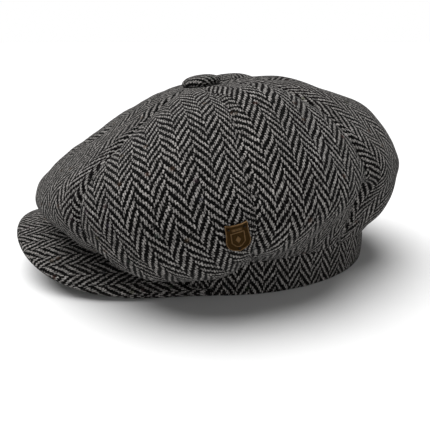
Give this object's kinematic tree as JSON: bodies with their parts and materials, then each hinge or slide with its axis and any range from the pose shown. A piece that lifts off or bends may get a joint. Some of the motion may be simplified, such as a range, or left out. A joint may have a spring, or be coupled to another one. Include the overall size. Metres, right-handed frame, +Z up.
{
  "type": "newsboy cap",
  "caption": "Full-crowned herringbone tweed newsboy cap with wedge panels, covered top button, sewn band, short stiff visor and a small shield badge on the wearer's left.",
  "frame": {"origin": "centre of the head opening, in the plane of the band's lower edge that the cap stands on", "axes": "+Z up out of the crown, front of the cap (visor) towards -Y, wearer's left (badge side) towards +X"},
  "size_m": [0.2619, 0.2791, 0.1316],
  "materials": {
    "tweed": "black and light grey herringbone wool tweed",
    "lining": "smooth black satin lining",
    "sweatband": "black cotton twill tape",
    "interfacing": "stiff buckram",
    "visor_board": "moulded plastic peak board",
    "button_metal": "stamped metal",
    "thread": "black polyester thread",
    "antique_brass": "darkened antique brass"
  },
  "bodies": {
    "cap": {"panel_front_left": "tweed", "panel_fore_side_left": "tweed", "panel_rear_side_left": "tweed", "panel_back_left": "tweed", "panel_back_right": "tweed", "panel_rear_side_right": "tweed", "panel_fore_side_right": "tweed", "panel_front_right": "tweed", "lining_front_left": "lining", "lining_fore_side_left": "lining", "lining_rear_side_left": "lining", "lining_back_left": "lining", "lining_back_right": "lining", "lining_rear_side_right": "lining", "lining_fore_side_right": "lining", "lining_front_right": "lining", "outer_band": "tweed", "band_stiffener": "interfacing", "sweatband": "sweatband", "button_cover": "tweed", "button_shell": "button_metal", "button_shank": "thread", "button_washer": "button_metal", "badge_plate": "antique_brass", "badge_emblem": "antique_brass", "badge_stitch_left": "thread", "badge_stitch_right": "thread", "badge_stitch_bottom": "thread"},
    "visor": {"visor_top_cover": "tweed", "visor_board": "visor_board", "visor_under_cover": "tweed"}
  },
  "joints": [
    {"name": "visor_tilt", "type": "hinge", "parent": "cap", "child": "visor", "pos_m": [0, -0.022, 0.0033], "axis": [1, 0, 0], "range_deg": [0, 12], "stiffness_Nm_per_rad": 0.7}
  ]
}
